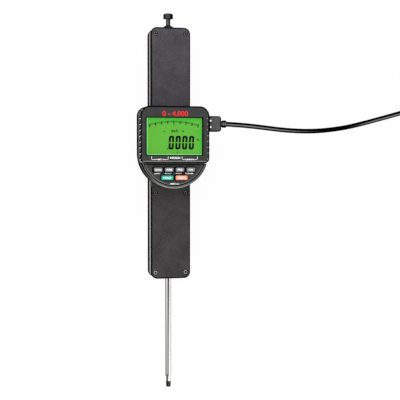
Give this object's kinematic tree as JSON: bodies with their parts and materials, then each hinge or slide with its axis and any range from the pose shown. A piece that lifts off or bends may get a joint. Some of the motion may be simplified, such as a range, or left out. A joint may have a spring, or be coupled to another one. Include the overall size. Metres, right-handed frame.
{
  "type": "digital indicator",
  "caption": "Long-travel digital indicator: a spring-returned spindle slides through a tall column, under a turning head with a lit display, push keys and an output cable.",
  "frame": {"origin": "centre of the column's flat back face, which it lies on or is fixed by", "axes": "+X to the reader's right, +Y along the spindle towards the lifting cap, +Z out of the display"},
  "size_m": [0.3919, 0.3919, 0.0435],
  "materials": {
    "black_casting": "fine matte black anodised aluminium",
    "dark_shell": "moulded dark grey, fine texture",
    "black_plastic": "satin black moulded plastic",
    "cable_sheath": "satin black flexible sheath",
    "soft_rubber": "matte black rubber",
    "ground_steel": "ground and polished",
    "blackened_steel": "blackened",
    "contact_black": "blackened, polished tip",
    "bronze": "sintered bronze",
    "bright_aluminium": "machined",
    "clear_glass": "clear, polished",
    "lcd_green": "lit green liquid crystal panel",
    "light_guide": "white diffuser",
    "circuit_board": "green solder mask",
    "tie_fabric": "black woven hook and loop"
  },
  "bodies": {
    "column": {"column_housing": "black_casting", "upper_cover": "black_casting", "lower_cover": "black_casting", "upper_cover_screw_1": "blackened_steel", "upper_cover_screw_2": "blackened_steel", "upper_cover_screw_3": "blackened_steel", "upper_cover_screw_4": "blackened_steel", "lower_cover_screw_1": "blackened_steel", "lower_cover_screw_2": "blackened_steel", "lower_cover_screw_3": "blackened_steel", "lower_cover_screw_4": "blackened_steel", "swivel_base_screw_1": "blackened_steel", "swivel_base_screw_2": "blackened_steel", "lower_bushing": "bronze", "stop_bumper": "soft_rubber", "upper_bushing": "black_casting", "guide_rod": "ground_steel", "reader_board": "circuit_board", "swivel_base": "black_casting", "friction_washer": "bright_aluminium", "retaining_ring": "blackened_steel", "drum_pin": "ground_steel"},
    "spindle": {"spindle_rod": "ground_steel", "lifting_cap": "black_plastic", "contact_point": "contact_black", "scale_carrier": "bright_aluminium", "scale_strip": "clear_glass", "carrier_screw_1": "blackened_steel", "carrier_screw_2": "blackened_steel", "spring_band": "ground_steel"},
    "spring_drum": {"spring_drum": "black_plastic"},
    "head": {"head_rear_case": "dark_shell", "case_screw_1": "blackened_steel", "case_screw_2": "blackened_steel", "case_screw_3": "blackened_steel", "case_screw_4": "blackened_steel", "display_bezel": "dark_shell", "output_socket": "black_plastic", "display_window": "clear_glass", "lcd_panel": "lcd_green", "backlight": "light_guide", "main_board": "circuit_board", "battery_cell": "ground_steel", "keypad_bezel": "dark_shell", "keypad_mat": "soft_rubber", "cable_connector": "black_plastic", "cable_strain_relief": "black_plastic", "cable_run": "cable_sheath", "cable_coil": "cable_sheath", "cable_tie": "tie_fabric", "cable_tail": "cable_sheath", "plug_body": "black_plastic", "plug_shell": "ground_steel"},
    "key_units": {"key_units": "black_plastic"},
    "key_origin": {"key_origin": "black_plastic"},
    "key_preset": {"key_preset": "black_plastic"},
    "key_power": {"key_power": "black_plastic"},
    "key_green": {"key_green": "black_plastic"},
    "key_orange": {"key_orange": "black_plastic"}
  },
  "joints": [
    {"name": "spindle_slide", "type": "slide", "parent": "column", "child": "spindle", "axis": [0, 1, 0], "range_m": [0, 0.1016], "stiffness_N_per_m": 4, "springref_m": -0.4},
    {"name": "drum_turn", "type": "hinge", "parent": "column", "child": "spring_drum", "pos_m": [-0.0115, -0.0996, 0.0063], "axis": [0, 0, 1], "range_deg": [0, 1122]},
    {"name": "head_turn", "type": "hinge", "parent": "column", "child": "head", "pos_m": [0, 0, 0.0203], "axis": [0, 0, 1], "range_deg": [-90, 90]},
    {"name": "key_units_press", "type": "slide", "parent": "head", "child": "key_units", "axis": [0, 0, -1], "range_m": [0, 0.0008], "stiffness_N_per_m": 1500},
    {"name": "key_origin_press", "type": "slide", "parent": "head", "child": "key_origin", "axis": [0, 0, -1], "range_m": [0, 0.0008], "stiffness_N_per_m": 1500},
    {"name": "key_preset_press", "type": "slide", "parent": "head", "child": "key_preset", "axis": [0, 0, -1], "range_m": [0, 0.0008], "stiffness_N_per_m": 1500},
    {"name": "key_power_press", "type": "slide", "parent": "head", "child": "key_power", "axis": [0, 0, -1], "range_m": [0, 0.0008], "stiffness_N_per_m": 1500},
    {"name": "key_green_press", "type": "slide", "parent": "head", "child": "key_green", "axis": [0, 0, -1], "range_m": [0, 0.0008], "stiffness_N_per_m": 1500},
    {"name": "key_orange_press", "type": "slide", "parent": "head", "child": "key_orange", "axis": [0, 0, -1], "range_m": [0, 0.0008], "stiffness_N_per_m": 1500}
  ],
  "couplings": [
    {"joint": "drum_turn", "follows": "spindle_slide", "rad_per_m": 192.31}
  ]
}
